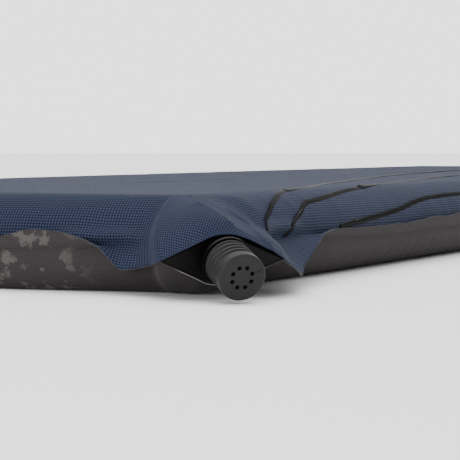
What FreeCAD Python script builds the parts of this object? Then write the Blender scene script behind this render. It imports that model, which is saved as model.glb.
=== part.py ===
import FreeCAD, Part
import math
import os
import Sketcher

# Self-inflating camping mattress. Millimetres, +Z up.
# The origin is the centre of the flat underside, X runs across the bed and Y along it.
# The valve sits on the (+X, -Y) corner. Valve parts are drawn about their own axis, with
# z = 0 on the front face of the weld base and +z pointing out of the mattress.

os.makedirs("parts", exist_ok=True)
doc = FreeCAD.newDocument("air_mattress")

# ---------------------------------------------------------------- sizes
SIZES = {
    # bed
    "half_width": 255.0,
    "half_length": 915.0,
    "height": 64.0,
    "corner_radius": 60.0,
    "valve_corner_radius": 41.0,
    "crown_radius": 32.0,
    "base_radius": 25.0,
    "sheet_thickness": 0.6,
    "weld_height": 27.0,
    # turned-up welded rim
    "rim_top": 40.6,
    "rim_ply": 0.5,
    "rim_gap": 0.3,
    "rim_stop_side": 128.0,
    "rim_stop_end": 128.0,
    # snout that carries the valve
    "snout_setback": 89.6,
    "snout_rear_half_width": 79.36,
    "snout_rear_rise": 34.56,
    "snout_rear_drop": 23.04,
    "snout_front_half_width": 46.08,
    "snout_front_rise": 15.4,
    "snout_front_drop": 18.4,
    "snout_open": 6.4,
    "lip_knee": 0.38,
    "lip_width": 12.8,
    "lip_droop": 8.96,
    "lip_gap": 0.05,
    "foam_setback": 30.72,
    # valve position
    "valve_heading": 45.0,
    "valve_droop": 17.6,
    "valve_reach": 15.74,
    # weld base
    "boat_half_length": 39.2,
    "boat_tip_drop": 2.3,
    "boat_crown_half": 5.4,
    "boat_crown_rise": 12.0,
    "boat_keel_half": 6.4,
    "boat_keel_drop": 15.6,
    "boat_crown_radius": 13.1,
    "boat_rear": -23.04,
    "boat_rib_half_length": 40.4,
    "boat_rib_crown_half": 5.7,
    "boat_rib_crown_rise": 12.9,
    "boat_rib_keel_half": 6.8,
    "boat_rib_keel_drop": 16.5,
    "boat_rib_width": 2.05,
    "boat_rib_pitch": 4.61,
    "boat_rib_first": -20.74,
    "socket_rear": -19.2,
    "neck_radius": 12.8,
    "neck_front": 7.04,
    "collar_radius": 16.0,
    "collar_front": 9.22,
    # stem
    "stem_radius": 9.73,
    "stem_bore": 7.42,
    "stem_front": 23.68,
    "stem_thread_radius": 10.75,
    "cap_thread_radius": 10.24,
    "thread_root": 0.38,
    "thread_tip_half_width": 0.45,
    "thread_half_width": 0.9,
    "thread_pitch": 5.0,
    "stem_thread_start": 18.3,
    "stem_thread_length": 2.5,
    # plug and spider
    "plug_rear": 25.09,
    "plug_front": 28.54,
    "plug_radius": 8.45,
    "plug_pin_radius": 2.05,
    "plug_pin_rear": 15.36,
    "spoke_width": 1.79,
    "spoke_depth": 3.2,
    "spoke_reach": 7.42,
    "seal_outer": 9.47,
    "seal_inner": 7.68,
    "seal_rear": 25.6,
    "seal_front": 26.88,
    # clip and washer
    "clip_inner": 9.09,
    "clip_outer": 11.01,
    "clip_rear": 22.14,
    "clip_front": 23.17,
    "washer_inner": 9.79,
    "washer_outer": 14.34,
    "washer_rear": 9.73,
    "washer_front": 10.62,
    # filter
    "filter_radius": 7.42,
    "filter_rear": -17.92,
    "filter_thickness": 0.77,
    "filter_hole": 1.02,
    "filter_pitch": 3.07,
    # cap
    "cap_radius": 15.2,
    "cap_rear": 11.14,
    "cap_front": 36.35,
    "cap_bore": 11.39,
    "gasket_inner": 9.79,
    "gasket_rear": 12.16,
    "gasket_front": 13.7,
    "gasket_outer": 12.29,
    "land_radius": 9.54,
    "land_rear": 25.34,
    "land_front": 29.31,
    "chamber_radius": 11.39,
    "chamber_front": 33.54,
    "groove_radius": 1.79,
    "groove_centre": 15.45,
    "groove_first": 13.95,
    "groove_pitch": 4.74,
    "face_round": 1.15,
    "cap_thread_start": 15.8,
    "hole_radius": 1.41,
    "hole_circle": 6.66,
    "pointer_inner": 8.83,
    "pointer_outer": 12.29,
    "pointer_width": 0.9,
    "pointer_depth": 0.45,
    "hole_turn": 22.5,
}
GROOVE_COUNT = 4
HOLE_COUNT = 8
SPOKE_COUNT = 3
BOAT_RIB_COUNT = 5
FILTER_COUNT = 6


def size_sheet():
    """The spreadsheet that every feature below reads."""
    sheet = doc.addObject("Spreadsheet::Sheet", "Sizes")
    row = 1
    for name, value in SIZES.items():
        sheet.set("A%d" % row, name)
        sheet.set("B%d" % row, str(value))
        sheet.setAlias("B%d" % row, name)
        row += 1
    doc.recompute()
    return sheet


def ref(name):
    return "Sizes." + name


# ---------------------------------------------------------------- placements
def valve_rotation(droop):
    heading = FreeCAD.Rotation(FreeCAD.Vector(0, 0, 1), SIZES["valve_heading"])
    lean = FreeCAD.Rotation(FreeCAD.Vector(1, 0, 0), 90.0 + droop)
    return heading.multiply(lean)


def valve_placement():
    """Local z along the valve axis, local x level and to the viewer's right."""
    base = FreeCAD.Vector(
        SIZES["half_width"] + SIZES["valve_reach"],
        -SIZES["half_length"] - SIZES["valve_reach"],
        SIZES["weld_height"],
    )
    return FreeCAD.Placement(base, valve_rotation(SIZES["valve_droop"]))


def snout_rear_placement():
    """Upright plane across the corner, where the snout leaves the bed."""
    back = SIZES["snout_setback"] / math.sqrt(2.0)
    base = FreeCAD.Vector(
        SIZES["half_width"] - back,
        -SIZES["half_length"] + back,
        SIZES["weld_height"],
    )
    return FreeCAD.Placement(base, valve_rotation(0.0))


VALVE = valve_placement()


# ---------------------------------------------------------------- sketch helpers
def new_body(name):
    body = doc.addObject("PartDesign::Body", name)
    body.Label = name
    return body


def origin_item(body, role):
    for item in body.Origin.OriginFeatures:
        if item.Role == role:
            return item
    raise ValueError("no origin item " + role)


def new_sketch(body, name, role="XY_Plane", offset=None):
    sketch = body.newObject("Sketcher::SketchObject", name)
    sketch.AttachmentSupport = (origin_item(body, role), [""])
    sketch.MapMode = "FlatFace"
    if offset is not None:
        sketch.AttachmentOffset = offset
    return sketch


def bind(sketch, constraint, expression):
    index = sketch.addConstraint(constraint)
    sketch.setExpression("Constraints[%d]" % index, expression)


def place_point(sketch, geometry, position, x_text, y_text, x_value, y_value):
    """Tie one point to the sketch origin with two bound distances."""
    if x_value == 0.0:
        sketch.addConstraint(Sketcher.Constraint("PointOnObject", geometry, position, -2))
    else:
        rule = Sketcher.Constraint("DistanceX", -1, 1, geometry, position, x_value)
        bind(sketch, rule, x_text)
    if y_value == 0.0:
        sketch.addConstraint(Sketcher.Constraint("PointOnObject", geometry, position, -1))
    else:
        rule = Sketcher.Constraint("DistanceY", -1, 1, geometry, position, y_value)
        bind(sketch, rule, y_text)


def named(term):
    """Value and expression of a size name, a signed name, or zero."""
    if term == "0":
        return 0.0, "0"
    if term.startswith("-"):
        return -SIZES[term[1:]], "-" + ref(term[1:])
    return SIZES[term], ref(term)


def polygon(sketch, corners):
    """Closed polygon whose corners are pairs of size names."""
    points = []
    for x_term, y_term in corners:
        points.append(named(x_term) + named(y_term))
    count = len(points)
    first = None
    for i in range(count):
        a = points[i]
        b = points[(i + 1) % count]
        start = FreeCAD.Vector(a[0], a[2], 0)
        end = FreeCAD.Vector(b[0], b[2], 0)
        index = sketch.addGeometry(Part.LineSegment(start, end), False)
        if first is None:
            first = index
    for i in range(count):
        following = first + (i + 1) % count
        sketch.addConstraint(Sketcher.Constraint("Coincident", first + i, 2, following, 1))
        a = points[i]
        place_point(sketch, first + i, 1, a[1], a[3], a[0], a[2])


def circle(sketch, x, y, radius, x_text, y_text, radius_text):
    shape = Part.Circle(FreeCAD.Vector(x, y, 0), FreeCAD.Vector(0, 0, 1), radius)
    index = sketch.addGeometry(shape, False)
    bind(sketch, Sketcher.Constraint("Radius", index, radius), radius_text)
    place_point(sketch, index, 3, x_text, y_text, x, y)


def pad(body, sketch, name, length_text):
    feature = body.newObject("PartDesign::Pad", name)
    feature.Profile = sketch
    feature.setExpression("Length", length_text)
    return feature


def revolve(body, sketch, name, kind="PartDesign::Revolution"):
    feature = body.newObject(kind, name)
    feature.Profile = sketch
    feature.ReferenceAxis = (origin_item(body, "Z_Axis"), [""])
    feature.Angle = 360.0
    return feature


def turned(name, corners):
    """A body turned about the valve axis from one closed profile."""
    body = new_body(name)
    sketch = new_sketch(body, name + "_profile", "XZ_Plane")
    polygon(sketch, corners)
    revolve(body, sketch, name + "_turn")
    body.Placement = VALVE
    doc.recompute()
    return body


# ---------------------------------------------------------------- bed blanks
def outline(sketch, inset_text, inset):
    """Rounded rectangle: three equal corners and a tighter one under the valve."""
    half_w = SIZES["half_width"] - inset
    half_l = SIZES["half_length"] - inset
    corners = [
        (1, -1, SIZES["valve_corner_radius"] - inset, "valve_corner_radius"),
        (1, 1, SIZES["corner_radius"] - inset, "corner_radius"),
        (-1, 1, SIZES["corner_radius"] - inset, "corner_radius"),
        (-1, -1, SIZES["corner_radius"] - inset, "corner_radius"),
    ]
    arcs = []
    for step, (sx, sy, radius, _) in enumerate(corners):
        centre = FreeCAD.Vector(sx * (half_w - radius), sy * (half_l - radius), 0)
        start = -math.pi / 2.0 + step * math.pi / 2.0
        ring = Part.Circle(centre, FreeCAD.Vector(0, 0, 1), radius)
        arc = Part.ArcOfCircle(ring, start, start + math.pi / 2.0)
        arcs.append(sketch.addGeometry(arc, False))
    lines = []
    for step in range(4):
        start = sketch.getPoint(arcs[step], 2)
        end = sketch.getPoint(arcs[(step + 1) % 4], 1)
        lines.append(sketch.addGeometry(Part.LineSegment(start, end), False))
    for step in range(4):
        following = arcs[(step + 1) % 4]
        sketch.addConstraint(Sketcher.Constraint("Tangent", arcs[step], 2, lines[step], 1))
        sketch.addConstraint(Sketcher.Constraint("Tangent", lines[step], 2, following, 1))
        radius = corners[step][2]
        text = ref(corners[step][3]) + " - (" + inset_text + ")"
        bind(sketch, Sketcher.Constraint("Radius", arcs[step], radius), text)
    wide = ref("half_width") + " - (" + inset_text + ")"
    long = ref("half_length") + " - (" + inset_text + ")"
    bind(sketch, Sketcher.Constraint("DistanceX", -1, 1, lines[0], 1, half_w), wide)
    bind(sketch, Sketcher.Constraint("DistanceY", -1, 1, lines[1], 1, half_l), long)
    bind(sketch, Sketcher.Constraint("DistanceX", -1, 1, lines[2], 1, -half_w), "-(" + wide + ")")
    bind(sketch, Sketcher.Constraint("DistanceY", -1, 1, lines[3], 1, -half_l), "-(" + long + ")")
    sketch.addConstraint(Sketcher.Constraint("Vertical", lines[0]))
    sketch.addConstraint(Sketcher.Constraint("Horizontal", lines[1]))
    sketch.addConstraint(Sketcher.Constraint("Vertical", lines[2]))
    sketch.addConstraint(Sketcher.Constraint("Horizontal", lines[3]))


def prism(name, inset_text, inset, low_text, low, high_text):
    """Upright prism on the bed outline, from one height to another."""
    body = new_body(name)
    lift = FreeCAD.Placement(FreeCAD.Vector(0, 0, low), FreeCAD.Rotation())
    sketch = new_sketch(body, name + "_outline", "XY_Plane", lift)
    sketch.setExpression(".AttachmentOffset.Base.z", low_text)
    outline(sketch, inset_text, inset)
    pad(body, sketch, name + "_pad", "(" + high_text + ") - (" + low_text + ")")
    doc.recompute()
    return body


def level_edges(shape, height):
    """Names of the edges that lie flat at one height."""
    names = []
    for number, edge in enumerate(shape.Edges, 1):
        box = edge.BoundBox
        if abs(box.ZMin - height) < 1e-4 and abs(box.ZMax - height) < 1e-4:
            names.append("Edge%d" % number)
    return names


def round_edges(body, base, name, height, radius_text):
    feature = body.newObject("PartDesign::Fillet", name)
    feature.Base = (base, level_edges(base.Shape, height))
    feature.setExpression("Radius", radius_text)
    doc.recompute()
    return feature


def lens(sketch, half_width, rise, drop):
    """Two arcs that meet in points, one over and one under the weld line."""
    left = FreeCAD.Vector(-half_width[0], 0, 0)
    right = FreeCAD.Vector(half_width[0], 0, 0)
    over = Part.Arc(right, FreeCAD.Vector(0, rise[0], 0), left)
    under = Part.Arc(left, FreeCAD.Vector(0, -drop[0], 0), right)
    upper = sketch.addGeometry(over, False)
    lower = sketch.addGeometry(under, False)
    sketch.addConstraint(Sketcher.Constraint("Coincident", upper, 2, lower, 1))
    sketch.addConstraint(Sketcher.Constraint("Coincident", lower, 2, upper, 1))
    place_point(sketch, upper, 1, half_width[1], "0", half_width[0], 0.0)
    place_point(sketch, upper, 2, "-(" + half_width[1] + ")", "0", -half_width[0], 0.0)
    for index, height, sign in ((upper, rise, 1.0), (lower, drop, -1.0)):
        radius = (half_width[0] ** 2 + height[0] ** 2) / (2.0 * height[0])
        text = "((%s)^2 + (%s)^2) / (2 * (%s))" % (half_width[1], height[1], height[1])
        bind(sketch, Sketcher.Constraint("Radius", index, radius), text)


def snout_size(name, inset, inset_text):
    return SIZES[name] - inset, ref(name) + " - (" + inset_text + ")"


def bed_blank(name, inset, inset_text):
    """The inflated envelope without its snout, shrunk by an inset."""
    top_text = ref("height") + " - (" + inset_text + ")"
    body = prism(name, inset_text, inset, inset_text, inset, top_text)
    crown = ref("crown_radius") + " - (" + inset_text + ")"
    under = ref("base_radius") + " - (" + inset_text + ")"
    top = SIZES["height"] - inset
    rounded = round_edges(body, body.Tip, name + "_crown", top, crown)
    round_edges(body, rounded, name + "_base", inset, under)
    return body


def add_snout(body, inset, inset_text):
    """Loft from an upright lens inside the corner to a tilted one at the weld base."""
    name = body.Label
    rear = new_sketch(body, name + "_snout_rear", "XY_Plane", snout_rear_placement())
    lens(
        rear,
        snout_size("snout_rear_half_width", inset, inset_text),
        snout_size("snout_rear_rise", inset, inset_text),
        snout_size("snout_rear_drop", inset, inset_text),
    )
    fore = new_sketch(body, name + "_snout_fore", "XY_Plane", VALVE)
    lens(
        fore,
        snout_size("snout_front_half_width", inset, inset_text),
        snout_size("snout_front_rise", inset, inset_text),
        snout_size("snout_front_drop", inset, inset_text),
    )
    loft = body.newObject("PartDesign::AdditiveLoft", name + "_snout")
    loft.Profile = rear
    loft.Sections = [fore]
    loft.Ruled = True
    doc.recompute()
    return fore


def cut(name, base, tool):
    feature = doc.addObject("Part::Cut", name)
    feature.Base = base
    feature.Tool = tool
    doc.recompute()
    return feature


def fuse(name, items):
    feature = doc.addObject("Part::MultiFuse", name)
    feature.Shapes = items
    doc.recompute()
    return feature


def common(name, base, tool):
    feature = doc.addObject("Part::Common", name)
    feature.Base = base
    feature.Tool = tool
    doc.recompute()
    return feature


def box(name, low, size):
    feature = doc.addObject("Part::Box", name)
    feature.Length = size[0]
    feature.Width = size[1]
    feature.Height = size[2]
    feature.Placement = FreeCAD.Placement(FreeCAD.Vector(*low), FreeCAD.Rotation())
    return feature


def half_space(name, above):
    """Everything over, or everything under, the weld line."""
    reach_x = 2.0 * SIZES["half_width"]
    reach_y = 1.2 * SIZES["half_length"]
    depth = SIZES["height"]
    low = SIZES["weld_height"] if above else SIZES["weld_height"] - depth
    feature = box(name, (-reach_x, -reach_y, low), (2 * reach_x, 2 * reach_y, depth))
    if above:
        feature.setExpression(".Placement.Base.z", ref("weld_height"))
    else:
        feature.setExpression(
            ".Placement.Base.z", ref("weld_height") + " - " + ref("height")
        )
    return feature


# ---------------------------------------------------------------- sheets
def corner_clear(name):
    """The block round the valve corner where the rim is not turned up."""
    side = SIZES["rim_stop_side"]
    end = SIZES["rim_stop_end"]
    low = (SIZES["half_width"] - end, -SIZES["half_length"] - end, 0.0)
    return box(name, low, (2 * end, side + end, 2 * SIZES["height"]))


def rim(name, inner, outer, low_text, low, floor_text, floor, blank):
    """One ply of the welded rim: a fold at the weld line and a strip turned up."""
    outer_prism = prism(name + "_out", "-(" + outer[1] + ")", -outer[0], low_text, low, ref("rim_top"))
    inner_prism = prism(
        name + "_in", "-(" + inner[1] + ")", -inner[0], floor_text, floor, ref("height")
    )
    angle = cut(name + "_angle", outer_prism, inner_prism)
    ring = cut(name + "_ring", angle, blank)
    return cut(name + "_strip", ring, corner_clear(name + "_corner"))


def lip_section(sketch, size, side, shift):
    """Thin bent strip: the section of the rim where it hangs beside the snout."""
    ply = SIZES["rim_ply"]
    inner = side * (size - 2.0 * ply)
    knee = side * (size + SIZES["lip_knee"])
    outer = side * (size + SIZES["lip_width"])
    fall = -SIZES["lip_droop"]
    points = [
        FreeCAD.Vector(inner, shift, 0),
        FreeCAD.Vector(knee, shift, 0),
        FreeCAD.Vector(outer, fall + shift, 0),
        FreeCAD.Vector(outer, fall + shift + ply, 0),
        FreeCAD.Vector(knee, shift + ply, 0),
        FreeCAD.Vector(inner, shift + ply, 0),
    ]
    count = len(points)
    for i in range(count):
        sketch.addGeometry(Part.LineSegment(points[i], points[(i + 1) % count]), False)
    for i in range(count):
        sketch.addConstraint(Sketcher.Constraint("Coincident", i, 2, (i + 1) % count, 1))


def lip(name, side, shift):
    """One hanging piece of rim, from the side of the bed to the weld base."""
    body = new_body(name)
    rear = new_sketch(body, name + "_rear", "XY_Plane", snout_rear_placement())
    lip_section(rear, SIZES["snout_rear_half_width"], side, shift)
    fore = new_sketch(body, name + "_fore", "XY_Plane", VALVE)
    lip_section(fore, SIZES["snout_front_half_width"], side, shift)
    loft = body.newObject("PartDesign::AdditiveLoft", name + "_loft")
    loft.Profile = rear
    loft.Sections = [fore]
    loft.Ruled = True
    doc.recompute()
    return body


def round_pad(body, name, radius, start_text, start, length_text):
    lift = FreeCAD.Placement(FreeCAD.Vector(0, 0, start), FreeCAD.Rotation())
    sketch = new_sketch(body, name + "_circle", "XY_Plane", lift)
    sketch.setExpression(".AttachmentOffset.Base.z", start_text)
    circle(sketch, 0.0, 0.0, SIZES[radius], "0", "0", ref(radius))
    return pad(body, sketch, name, length_text)


def boat_section(body, name, prefix, z_name):
    """Bell-shaped section square to the valve axis, with its two tips a little low."""
    lift = FreeCAD.Placement(FreeCAD.Vector(0, 0, SIZES[z_name]), FreeCAD.Rotation())
    sketch = new_sketch(body, name, "XY_Plane", lift)
    sketch.setExpression(".AttachmentOffset.Base.z", ref(z_name))
    length = prefix + "_half_length"
    crown = prefix + "_crown_half"
    keel = prefix + "_keel_half"
    corners = [
        (length, "-boat_tip_drop"),
        (crown, prefix + "_crown_rise"),
        ("-" + crown, prefix + "_crown_rise"),
        ("-" + length, "-boat_tip_drop"),
        ("-" + keel, "-" + prefix + "_keel_drop"),
        (keel, "-" + prefix + "_keel_drop"),
    ]
    polygon(sketch, corners)
    return sketch


def weld_base():
    """Bell-shaped weld base with ribs, a neck and a thin collar in front."""
    body = new_body("valve_boat")
    core = boat_section(body, "boat_core_section", "boat", "boat_rear")
    pad(body, core, "boat_core", "-" + ref("boat_rear"))
    doc.recompute()
    rib_section = boat_section(body, "boat_rib_section", "boat_rib", "boat_rib_first")
    rib = pad(body, rib_section, "boat_rib", ref("boat_rib_width"))
    doc.recompute()
    ribs = body.newObject("PartDesign::LinearPattern", "boat_ribs")
    ribs.Originals = [rib]
    ribs.Direction = (origin_item(body, "Z_Axis"), [""])
    ribs.Length = SIZES["boat_rib_pitch"] * (BOAT_RIB_COUNT - 1)
    ribs.setExpression("Length", ref("boat_rib_pitch") + " * %d" % (BOAT_RIB_COUNT - 1))
    ribs.Occurrences = BOAT_RIB_COUNT
    body.Tip = ribs
    doc.recompute()
    crown_length = "-" + ref("boat_rear")
    round_pad(body, "boat_crown", "boat_crown_radius", ref("boat_rear"), SIZES["boat_rear"], crown_length)
    doc.recompute()
    round_pad(body, "boat_neck", "neck_radius", "0", 0.0, ref("neck_front"))
    doc.recompute()
    collar_length = ref("collar_front") + " - " + ref("neck_front")
    round_pad(body, "boat_collar", "collar_radius", ref("neck_front"), SIZES["neck_front"], collar_length)
    doc.recompute()
    socket = new_sketch(body, "boat_socket_profile", "XZ_Plane")
    socket_points = [
        ("0", "socket_rear"),
        ("stem_radius", "socket_rear"),
        ("stem_radius", "cap_front"),
        ("0", "cap_front"),
    ]
    polygon(socket, socket_points)
    revolve(body, socket, "boat_socket", "PartDesign::Groove")
    doc.recompute()
    bore = new_sketch(body, "boat_bore_profile", "XZ_Plane")
    bore_points = [
        ("0", "boat_rear"),
        ("stem_bore", "boat_rear"),
        ("stem_bore", "cap_front"),
        ("0", "cap_front"),
    ]
    polygon(bore, bore_points)
    revolve(body, bore, "boat_bore", "PartDesign::Groove")
    body.Placement = VALVE
    doc.recompute()
    return body


def thread_ridge(body, name, root_term, tip, start):
    """Half a turn of ridge, so that the cap climbs as it is turned."""
    sketch = new_sketch(body, name + "_profile", "XZ_Plane")
    wide = SIZES["thread_half_width"]
    narrow = SIZES["thread_tip_half_width"]
    corners = [
        FreeCAD.Vector(root_term, start - wide, 0),
        FreeCAD.Vector(tip, start - narrow, 0),
        FreeCAD.Vector(tip, start + narrow, 0),
        FreeCAD.Vector(root_term, start + wide, 0),
    ]
    for i in range(4):
        sketch.addGeometry(Part.LineSegment(corners[i], corners[(i + 1) % 4]), False)
    for i in range(4):
        sketch.addConstraint(Sketcher.Constraint("Coincident", i, 2, (i + 1) % 4, 1))
    helix = body.newObject("PartDesign::AdditiveHelix", name)
    helix.Profile = sketch
    helix.ReferenceAxis = (origin_item(body, "Z_Axis"), [""])
    helix.Mode = 0
    helix.setExpression("Pitch", ref("thread_pitch"))
    helix.setExpression("Height", ref("stem_thread_length"))
    doc.recompute()
    return helix


def stem():
    body = turned(
        "valve_stem",
        [
            ("stem_bore", "socket_rear"),
            ("stem_radius", "socket_rear"),
            ("stem_radius", "clip_rear"),
            ("clip_inner", "clip_rear"),
            ("clip_inner", "clip_front"),
            ("stem_radius", "clip_front"),
            ("stem_radius", "stem_front"),
            ("stem_bore", "stem_front"),
        ],
    )
    root = SIZES["stem_radius"] - SIZES["thread_root"]
    thread_ridge(body, "stem_thread", root, SIZES["stem_thread_radius"], SIZES["stem_thread_start"])
    return body


def plug():
    """Fixed disc in front of the stem, held on a pin by three spokes."""
    body = turned(
        "stem_plug",
        [
            ("0", "plug_pin_rear"),
            ("plug_pin_radius", "plug_pin_rear"),
            ("plug_pin_radius", "plug_rear"),
            ("plug_radius", "plug_rear"),
            ("plug_radius", "seal_rear"),
            ("seal_inner", "seal_rear"),
            ("seal_inner", "seal_front"),
            ("plug_radius", "seal_front"),
            ("plug_radius", "plug_front"),
            ("0", "plug_front"),
        ],
    )
    lift = FreeCAD.Placement(FreeCAD.Vector(0, 0, SIZES["plug_pin_rear"]), FreeCAD.Rotation())
    sketch = new_sketch(body, "spoke_outline", "XY_Plane", lift)
    half = SIZES["spoke_width"] / 2.0
    reach = SIZES["spoke_reach"]
    corners = [(0.0, -half), (reach, -half), (reach, half), (0.0, half)]
    for i in range(4):
        a = corners[i]
        b = corners[(i + 1) % 4]
        line = Part.LineSegment(FreeCAD.Vector(a[0], a[1], 0), FreeCAD.Vector(b[0], b[1], 0))
        sketch.addGeometry(line, False)
    for i in range(4):
        sketch.addConstraint(Sketcher.Constraint("Coincident", i, 2, (i + 1) % 4, 1))
    spoke = pad(body, sketch, "spoke", ref("spoke_depth"))
    doc.recompute()
    spokes = body.newObject("PartDesign::PolarPattern", "spokes")
    spokes.Originals = [spoke]
    spokes.Axis = (origin_item(body, "Z_Axis"), [""])
    spokes.Angle = 360.0
    spokes.Occurrences = SPOKE_COUNT
    body.Tip = spokes
    doc.recompute()
    return trimmed_plug(body)


def trimmed_plug(body):
    """Spoke ends rounded to the bore of the stem."""
    limit = doc.addObject("Part::Cylinder", "plug_limit")
    limit.setExpression("Radius", ref("stem_bore"))
    limit.setExpression("Height", ref("stem_front"))
    limit.Placement = VALVE
    tube = doc.addObject("Part::Cylinder", "plug_tube")
    tube.setExpression("Radius", ref("cap_radius"))
    tube.setExpression("Height", ref("stem_front"))
    tube.Placement = VALVE
    ring = cut("plug_ring", tube, limit)
    result = cut("stem_plug_solid", body, ring)
    body.Label = "stem_plug_blank"
    result.Label = "stem_plug"
    return result


def ring(name, inner, outer, rear, front):
    return turned(name, [(inner, rear), (outer, rear), (outer, front), (inner, front)])


def filter_screen():
    """Perforated disc that keeps crumbs of foam out of the stem."""
    body = new_body("filter_screen")
    lift = FreeCAD.Placement(FreeCAD.Vector(0, 0, SIZES["filter_rear"]), FreeCAD.Rotation())
    sketch = new_sketch(body, "filter_outline", "XY_Plane", lift)
    sketch.setExpression(".AttachmentOffset.Base.z", ref("filter_rear"))
    circle(sketch, 0.0, 0.0, SIZES["filter_radius"], "0", "0", ref("filter_radius"))
    radius = ref("filter_hole")
    circle(sketch, 0.0, 0.0, SIZES["filter_hole"], "0", "0", radius)
    for i in range(FILTER_COUNT):
        angle = 2.0 * math.pi * i / FILTER_COUNT
        x = SIZES["filter_pitch"] * math.cos(angle)
        y = SIZES["filter_pitch"] * math.sin(angle)
        hole = Part.Circle(FreeCAD.Vector(x, y, 0), FreeCAD.Vector(0, 0, 1), SIZES["filter_hole"])
        index = sketch.addGeometry(hole, False)
        bind(sketch, Sketcher.Constraint("Radius", index, SIZES["filter_hole"]), radius)
    pad(body, sketch, "filter_disc", ref("filter_thickness"))
    body.Placement = VALVE
    doc.recompute()
    return body


def cap():
    """Ribbed twist cap with air holes in its face."""
    body = turned(
        "valve_cap",
        [
            ("cap_bore", "cap_rear"),
            ("cap_radius", "cap_rear"),
            ("cap_radius", "cap_front"),
            ("0", "cap_front"),
            ("0", "chamber_front"),
            ("chamber_radius", "chamber_front"),
            ("chamber_radius", "land_front"),
            ("land_radius", "land_front"),
            ("land_radius", "land_rear"),
            ("cap_bore", "land_rear"),
            ("cap_bore", "gasket_front"),
            ("gasket_outer", "gasket_front"),
            ("gasket_outer", "gasket_rear"),
            ("cap_bore", "gasket_rear"),
        ],
    )
    cap_edge(body)
    cap_grooves(body)
    cap_holes(body)
    cap_pointer(body)
    root = SIZES["cap_bore"] + SIZES["thread_root"]
    thread_ridge(body, "cap_thread", root, SIZES["cap_thread_radius"], SIZES["cap_thread_start"])
    return body


def cap_edge(body):
    base = body.Tip
    names = []
    for number, edge in enumerate(base.Shape.Edges, 1):
        if not hasattr(edge.Curve, "Radius"):
            continue
        wide = abs(edge.Curve.Radius - SIZES["cap_radius"]) < 1e-4
        front = abs(edge.Curve.Center.z - SIZES["cap_front"]) < 1e-4
        if wide and front:
            names.append("Edge%d" % number)
    rounding = body.newObject("PartDesign::Fillet", "face_edge")
    rounding.Base = (base, names)
    rounding.setExpression("Radius", ref("face_round"))
    doc.recompute()


def cap_grooves(body):
    sketch = new_sketch(body, "groove_circle", "XZ_Plane")
    circle(
        sketch,
        SIZES["groove_centre"],
        SIZES["groove_first"],
        SIZES["groove_radius"],
        ref("groove_centre"),
        ref("groove_first"),
        ref("groove_radius"),
    )
    groove = revolve(body, sketch, "groove", "PartDesign::Groove")
    doc.recompute()
    grooves = body.newObject("PartDesign::LinearPattern", "grooves")
    grooves.Originals = [groove]
    grooves.Direction = (origin_item(body, "Z_Axis"), [""])
    grooves.Length = SIZES["groove_pitch"] * (GROOVE_COUNT - 1)
    grooves.setExpression("Length", ref("groove_pitch") + " * %d" % (GROOVE_COUNT - 1))
    grooves.Occurrences = GROOVE_COUNT
    body.Tip = grooves
    doc.recompute()


def face_sketch(body, name):
    lift = FreeCAD.Placement(FreeCAD.Vector(0, 0, SIZES["cap_front"]), FreeCAD.Rotation())
    sketch = new_sketch(body, name, "XY_Plane", lift)
    sketch.setExpression(".AttachmentOffset.Base.z", ref("cap_front"))
    return sketch


def cap_holes(body):
    sketch = face_sketch(body, "hole_circle_sketch")
    turn = math.radians(SIZES["hole_turn"])
    x = SIZES["hole_circle"] * math.cos(turn)
    y = SIZES["hole_circle"] * math.sin(turn)
    x_text = ref("hole_circle") + " * cos(" + ref("hole_turn") + ")"
    y_text = ref("hole_circle") + " * sin(" + ref("hole_turn") + ")"
    circle(sketch, x, y, SIZES["hole_radius"], x_text, y_text, ref("hole_radius"))
    hole = body.newObject("PartDesign::Pocket", "air_hole")
    hole.Profile = sketch
    hole.setExpression("Length", ref("cap_front") + " - " + ref("chamber_front") + " + 0.5")
    doc.recompute()
    holes = body.newObject("PartDesign::PolarPattern", "air_holes")
    holes.Originals = [hole]
    holes.Axis = (origin_item(body, "Z_Axis"), [""])
    holes.Angle = 360.0
    holes.Occurrences = HOLE_COUNT
    body.Tip = holes
    doc.recompute()


def cap_pointer(body):
    """Short engraved mark beside one air hole."""
    sketch = face_sketch(body, "pointer_outline")
    turn = math.radians(SIZES["hole_turn"])
    along = FreeCAD.Vector(math.cos(turn), math.sin(turn), 0)
    across = FreeCAD.Vector(-math.sin(turn), math.cos(turn), 0)
    half = SIZES["pointer_width"] / 2.0
    near = along * SIZES["pointer_inner"]
    far = along * SIZES["pointer_outer"]
    points = [near - across * half, far - across * half, far + across * half, near + across * half]
    for i in range(4):
        sketch.addGeometry(Part.LineSegment(points[i], points[(i + 1) % 4]), False)
    for i in range(4):
        sketch.addConstraint(Sketcher.Constraint("Coincident", i, 2, (i + 1) % 4, 1))
    mark = body.newObject("PartDesign::Pocket", "pointer")
    mark.Profile = sketch
    mark.setExpression("Length", ref("pointer_depth"))
    doc.recompute()


# ---------------------------------------------------------------- bed
def sheet(name, face, other, strip, lips):
    """One face of the cover: half of the shell, its rim strip and hanging lips."""
    trimmed = []
    for item in lips:
        outside = cut(item.Label + "_outside", item, HOLLOW)
        trimmed.append(cut(item.Label + "_trim", outside, other))
    whole = fuse(name + "_whole", [face, strip] + trimmed)
    whole.Label = name
    return whole


def foam_core(blank):
    """Foam slab with its valve corner cut off to leave an air space."""
    body = bed_blank("foam_blank", SIZES["sheet_thickness"], ref("sheet_thickness"))
    reach = SIZES["snout_setback"] - SIZES["foam_setback"]
    side = SIZES["half_width"]
    shift = FreeCAD.Placement(FreeCAD.Vector(-side, -side, reach), FreeCAD.Rotation())
    corner = doc.addObject("Part::Box", "foam_corner")
    corner.Length = 2.0 * side
    corner.Width = 2.0 * side
    corner.Height = side
    corner.Placement = snout_rear_placement().multiply(shift)
    foam = cut("foam_core", body, corner)
    return foam


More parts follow.
